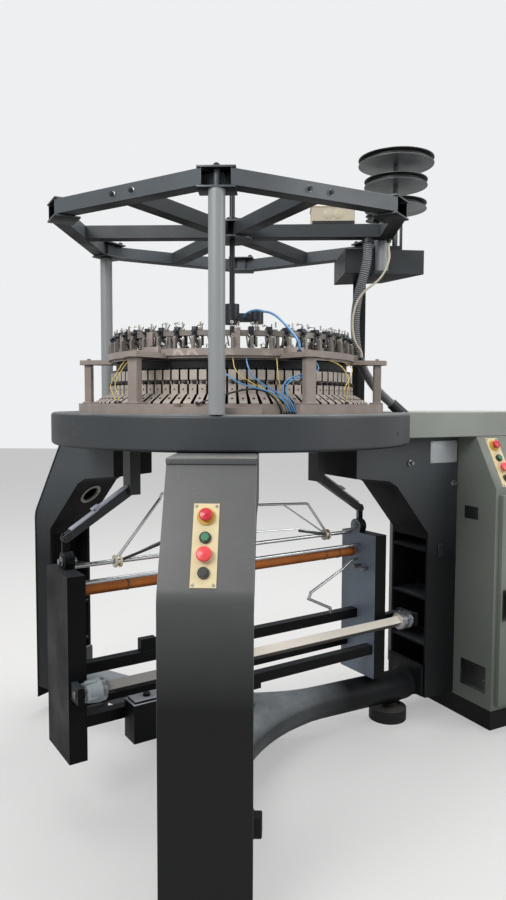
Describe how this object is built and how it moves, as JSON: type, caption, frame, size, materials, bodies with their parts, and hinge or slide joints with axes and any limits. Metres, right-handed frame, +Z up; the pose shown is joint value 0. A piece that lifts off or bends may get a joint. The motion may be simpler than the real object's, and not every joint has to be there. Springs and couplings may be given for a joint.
{
  "type": "circular knitting machine",
  "caption": "Floor standing circular knitting machine: ring bed on cast legs, ring of cam boxes round a turning needle cylinder, hexagonal yarn frame, turning take-down and control cabinet.",
  "frame": {"origin": "on the floor under the axis of the needle cylinder, at the centre of the circle of floor anchor holes", "axes": "+Z up along the axis of the needle cylinder, -Y towards the leg with the switch plate, +X to the right, the cabinet lies 30 degrees from +X towards +Y"},
  "size_m": [2.3682, 2.0014, 2.296],
  "materials": {
    "belt_rubber": "black belt",
    "black_paint": "black enamel",
    "black_plastic": "black moulding",
    "box_plastic": "cream moulding",
    "bridge_paint": "light grey green enamel",
    "bright_steel": "bright rod",
    "cabinet_paint": "grey green powder coat",
    "cable_plastic": "cream sheath",
    "conduit_plastic": "ribbed grey conduit",
    "cross_paint": "grey enamel over casting",
    "dark_steel": "blackened steel",
    "foot_iron": "bare casting",
    "green_plastic": "green cap",
    "panel_zinc": "galvanised plate",
    "plate_cream": "cream plate",
    "post_paint": "light blue grey enamel",
    "rail_alu": "cast and milled",
    "red_plastic": "red cap",
    "ring_paint": "dark grey green enamel",
    "roll_rubber": "orange brown covering",
    "slate_paint": "slate enamel",
    "steel": "turned steel",
    "taupe_paint": "taupe enamel",
    "tube_plastic": "blue air tube"
  },
  "bodies": {
    "frame": {"bed_ring": "ring_paint", "bridge_table": "bridge_paint", "front_leg": "ring_paint", "left_leg": "ring_paint", "right_leg": "ring_paint", "leg_covers": "ring_paint", "foot_cross": "cross_paint", "levelling_feet": "foot_iron", "pivot_bearing": "cross_paint", "control_cabinet": "cabinet_paint", "electrics_panel": "panel_zinc", "switch_plates": "plate_cream", "cam_plate": "taupe_paint", "cam_carrier": "black_paint", "cam_boxes": "rail_alu", "head_columns": "taupe_paint", "upper_ring": "taupe_paint", "feeder_posts": "steel", "feeder_rail": "rail_alu", "yarn_carriers": "steel", "tall_posts": "post_paint", "hexagon_tubes": "slate_paint", "spokes": "slate_paint", "joint_plates": "slate_paint", "frame_bolts": "dark_steel", "centre_rod": "dark_steel", "drive_column": "black_paint", "pulley_housing": "slate_paint", "junction_box": "box_plastic", "cable_glands": "black_plastic", "conduit": "conduit_plastic", "cream_cable": "cable_plastic", "blue_tube": "tube_plastic", "main_motor": "cross_paint", "drive_belt": "belt_rubber"},
    "rotor": {"needle_cylinder": "dark_steel", "ring_gear": "steel", "takedown_links": "cross_paint", "side_plates": "black_paint", "cross_bars": "black_paint", "guide_rods": "bright_steel", "takedown_gearbox": "cross_paint"},
    "draw_roll": {"draw_roll": "roll_rubber"},
    "winding": {"winding_bar": "bright_steel"},
    "bow": {"spreader_bow": "bright_steel"},
    "drive_shaft": {"drive_shaft": "steel"},
    "motor_pulley": {"motor_pulley": "steel"},
    "feed_pulleys": {"feed_pulleys": "dark_steel"},
    "idler": {"idler_wheel": "dark_steel"},
    "door": {"cabinet_door": "cabinet_paint"},
    "handle": {"door_handle": "black_plastic"},
    "leg_emergency_stop": {"leg_emergency_stop": "red_plastic"},
    "leg_start": {"leg_start_button": "green_plastic"},
    "leg_stop": {"leg_stop_button": "red_plastic"},
    "leg_jog": {"leg_jog_button": "black_plastic"},
    "cabinet_emergency_stop": {"cabinet_emergency_stop": "red_plastic"},
    "cabinet_start": {"cabinet_start_button": "green_plastic"},
    "cabinet_stop": {"cabinet_stop_button": "red_plastic"},
    "cabinet_jog": {"cabinet_jog_button": "black_plastic"}
  },
  "joints": [
    {"name": "take_down_turn", "type": "hinge", "parent": "frame", "child": "rotor", "pos_m": [0, 0, 0], "axis": [0, 0, 1], "continuous": true},
    {"name": "draw_roll_turn", "type": "hinge", "parent": "rotor", "child": "draw_roll", "pos_m": [0, 0, 0.738], "axis": [0.8141, 0.5807, 0], "continuous": true},
    {"name": "winding_turn", "type": "hinge", "parent": "rotor", "child": "winding", "pos_m": [0.0964, -0.13514, 0.455], "axis": [0.8141, 0.5807, 0], "continuous": true},
    {"name": "bow_swing", "type": "hinge", "parent": "rotor", "child": "bow", "pos_m": [-0.01626, 0.02279, 0.812], "axis": [0.8141, 0.5807, 0], "range_deg": [-40, 40]},
    {"name": "drive_shaft_turn", "type": "hinge", "parent": "frame", "child": "drive_shaft", "pos_m": [0.49883, 0.288, 1.5], "axis": [0, 0, 1], "continuous": true},
    {"name": "motor_turn", "type": "hinge", "parent": "frame", "child": "motor_pulley", "pos_m": [0.97861, 0.565, 1.22], "axis": [0, 0, 1], "continuous": true},
    {"name": "feed_pulleys_turn", "type": "hinge", "parent": "frame", "child": "feed_pulleys", "pos_m": [0.615, 0.136, 2], "axis": [0, 0, 1], "continuous": true},
    {"name": "idler_turn", "type": "hinge", "parent": "frame", "child": "idler", "pos_m": [0.549, 0.172, 2.075], "axis": [0, 0, 1], "continuous": true},
    {"name": "door_swing", "type": "hinge", "parent": "frame", "child": "door", "pos_m": [1.47673, 0.45422, 0.5], "axis": [0, 0, 1], "range_deg": [0, 110]},
    {"name": "handle_turn", "type": "hinge", "parent": "door", "child": "handle", "pos_m": [1.10265, 0.23016, 0.592], "axis": [0.5, -0.866, 0], "range_deg": [0, 90]},
    {"name": "leg_emergency_stop_press", "type": "slide", "parent": "frame", "child": "leg_emergency_stop", "axis": [0, 0.885, -0.4656], "range_m": [0, 0.004]},
    {"name": "leg_start_press", "type": "slide", "parent": "frame", "child": "leg_start", "axis": [0, 0.885, -0.4656], "range_m": [0, 0.004], "stiffness_N_per_m": 1500},
    {"name": "leg_stop_press", "type": "slide", "parent": "frame", "child": "leg_stop", "axis": [0, 0.885, -0.4656], "range_m": [0, 0.004], "stiffness_N_per_m": 1500},
    {"name": "leg_jog_press", "type": "slide", "parent": "frame", "child": "leg_jog", "axis": [0, 0.885, -0.4656], "range_m": [0, 0.004], "stiffness_N_per_m": 1500},
    {"name": "cabinet_emergency_stop_press", "type": "slide", "parent": "frame", "child": "cabinet_emergency_stop", "axis": [-0.4394, 0.7611, -0.4771], "range_m": [0, 0.004]},
    {"name": "cabinet_start_press", "type": "slide", "parent": "frame", "child": "cabinet_start", "axis": [-0.4394, 0.7611, -0.4771], "range_m": [0, 0.004], "stiffness_N_per_m": 1500},
    {"name": "cabinet_stop_press", "type": "slide", "parent": "frame", "child": "cabinet_stop", "axis": [-0.4394, 0.7611, -0.4771], "range_m": [0, 0.004], "stiffness_N_per_m": 1500},
    {"name": "cabinet_jog_press", "type": "slide", "parent": "frame", "child": "cabinet_jog", "axis": [-0.4394, 0.7611, -0.4771], "range_m": [0, 0.004], "stiffness_N_per_m": 1500}
  ],
  "couplings": [
    {"joint": "drive_shaft_turn", "follows": "take_down_turn", "ratio": -9.6667},
    {"joint": "motor_turn", "follows": "take_down_turn", "ratio": -9.6667},
    {"joint": "feed_pulleys_turn", "follows": "take_down_turn", "ratio": -9.6667}
  ]
}
